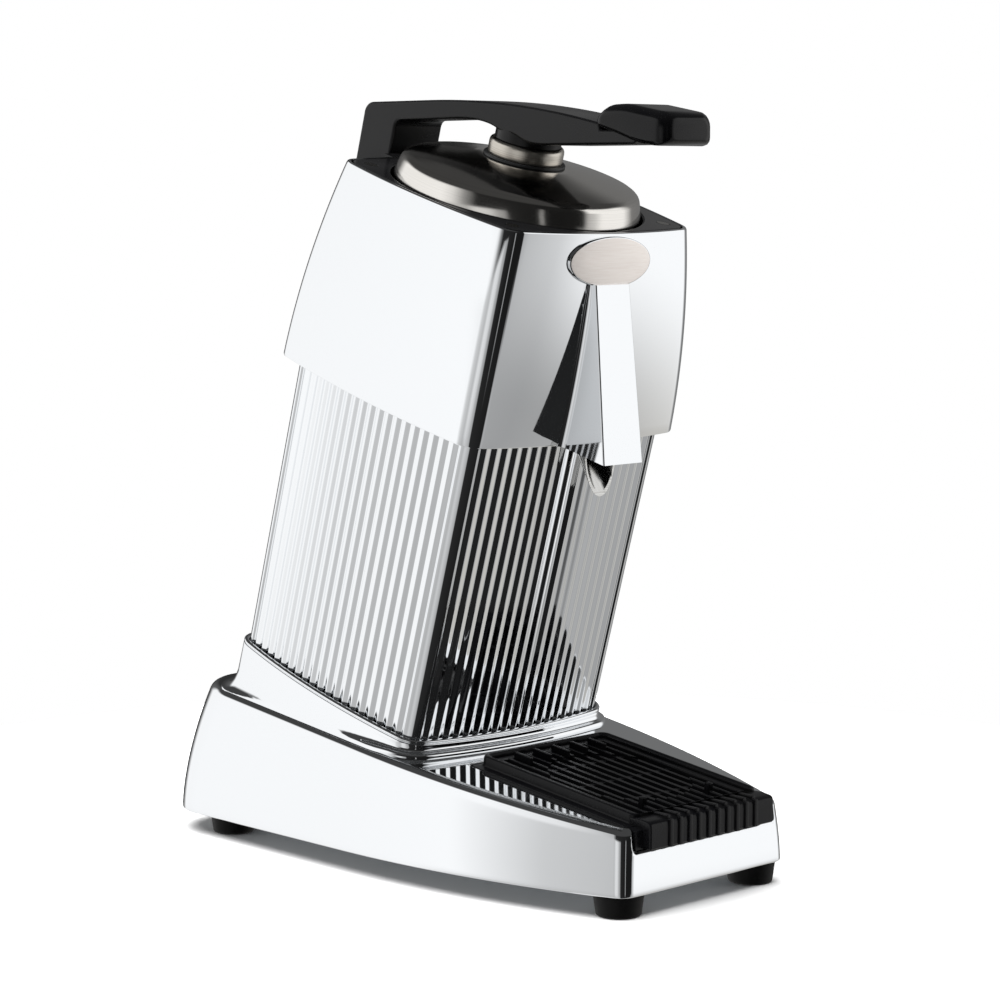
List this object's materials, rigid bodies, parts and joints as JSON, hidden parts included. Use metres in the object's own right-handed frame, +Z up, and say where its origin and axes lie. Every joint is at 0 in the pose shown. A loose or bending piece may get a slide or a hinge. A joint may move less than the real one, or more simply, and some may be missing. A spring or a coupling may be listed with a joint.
{
  "type": "citrus press juicer",
  "caption": "Lever citrus press: ribbed leaning column, domed lid on a lever over a motor-driven reamer, spout and drip tray.",
  "frame": {"origin": "centre of the bounding box's footprint, at the soles of the feet", "axes": "+Z up, -Y towards the drip tray and the user, +X to the object's left-right axis"},
  "size_m": [0.16, 0.296, 0.355],
  "materials": {
    "base_shell": "polished chrome plate on a die cast shell",
    "bottom_plate": "zinc plated sheet",
    "foot": "moulded black rubber",
    "fixing": "zinc plated steel",
    "gland": "moulded black nylon",
    "terminal": "natural nylon",
    "capacitor_can": "drawn can",
    "ribbed_body": "polished chrome plate on a fluted sleeve",
    "motor_plate": "cast and machined",
    "housing": "polished chrome plate on a cast hood",
    "badge": "fine brushed oval plate",
    "black_plastic": "fine satin texture",
    "machined_steel": "turned steel",
    "core": "stacked sheets",
    "winding": "enamelled copper wire",
    "seal": "moulded black rubber",
    "bowl": "pressed stainless",
    "lever": "satin black moulding",
    "bush": "sintered bronze",
    "grip": "satin black moulding",
    "dome": "satin stainless pressing",
    "tray": "satin black moulding"
  },
  "bodies": {
    "machine": {"base_shell": "base_shell", "bottom_plate": "bottom_plate", "foot_front_left": "foot", "foot_front_right": "foot", "foot_rear_left": "foot", "foot_rear_right": "foot", "foot_screws": "fixing", "bonding_stud": "fixing", "cord_gland": "gland", "gland_nut": "gland", "terminal_block": "terminal", "capacitor": "capacitor_can", "capacitor_clip": "fixing", "ribbed_body": "ribbed_body", "tie_rods": "fixing", "tie_rod_nuts": "fixing", "motor_plate": "motor_plate", "upper_housing": "housing", "badge_plate": "badge", "top_plate": "black_plastic", "top_plate_screws": "fixing", "hinge_bracket": "black_plastic", "bracket_screws": "fixing", "hinge_pin": "machined_steel", "pin_clips": "fixing", "microswitch": "black_plastic", "stator_core": "core", "stator_windings": "winding", "upper_end_cap": "motor_plate", "lower_end_cap": "motor_plate", "motor_screws": "fixing", "upper_bearing": "machined_steel", "lower_bearing": "machined_steel", "shaft_seal": "seal", "juice_bowl": "bowl", "strainer": "bowl"},
    "lever": {"lever_arm": "lever", "lever_bushes": "bush", "lever_grip": "grip", "grip_screw": "fixing", "dome_stud": "machined_steel", "press_dome": "dome", "dome_gasket": "seal", "dome_ring": "machined_steel"},
    "spindle": {"motor_shaft": "machined_steel", "rotor_core": "core", "cooling_fan": "black_plastic", "drive_hub": "machined_steel", "reamer": "bowl"},
    "plunger": {"switch_plunger": "gland"},
    "tray": {"drip_tray": "tray"},
    "grid": {"drip_grid": "tray"}
  },
  "joints": [
    {"name": "lever_hinge", "type": "hinge", "parent": "machine", "child": "lever", "pos_m": [0, 0.063, 0.31796], "axis": [-1, 0, 0], "range_deg": [0, 70]},
    {"name": "spindle_spin", "type": "hinge", "parent": "machine", "child": "spindle", "pos_m": [0, 0.04416, 0.07751], "axis": [0, -0.2773, 0.9608], "continuous": true},
    {"name": "plunger_push", "type": "slide", "parent": "machine", "child": "plunger", "axis": [0, -0.9608, -0.2773], "range_m": [0, 0.002]},
    {"name": "tray_lift", "type": "slide", "parent": "machine", "child": "tray", "axis": [0, -0.1305, 0.9914], "range_m": [0, 0.04]},
    {"name": "grid_lift", "type": "slide", "parent": "tray", "child": "grid", "axis": [0, -0.1305, 0.9914], "range_m": [0, 0.03]}
  ],
  "couplings": [
    {"joint": "plunger_push", "follows": "lever_hinge", "m_per_rad": 0.0016354}
  ]
}
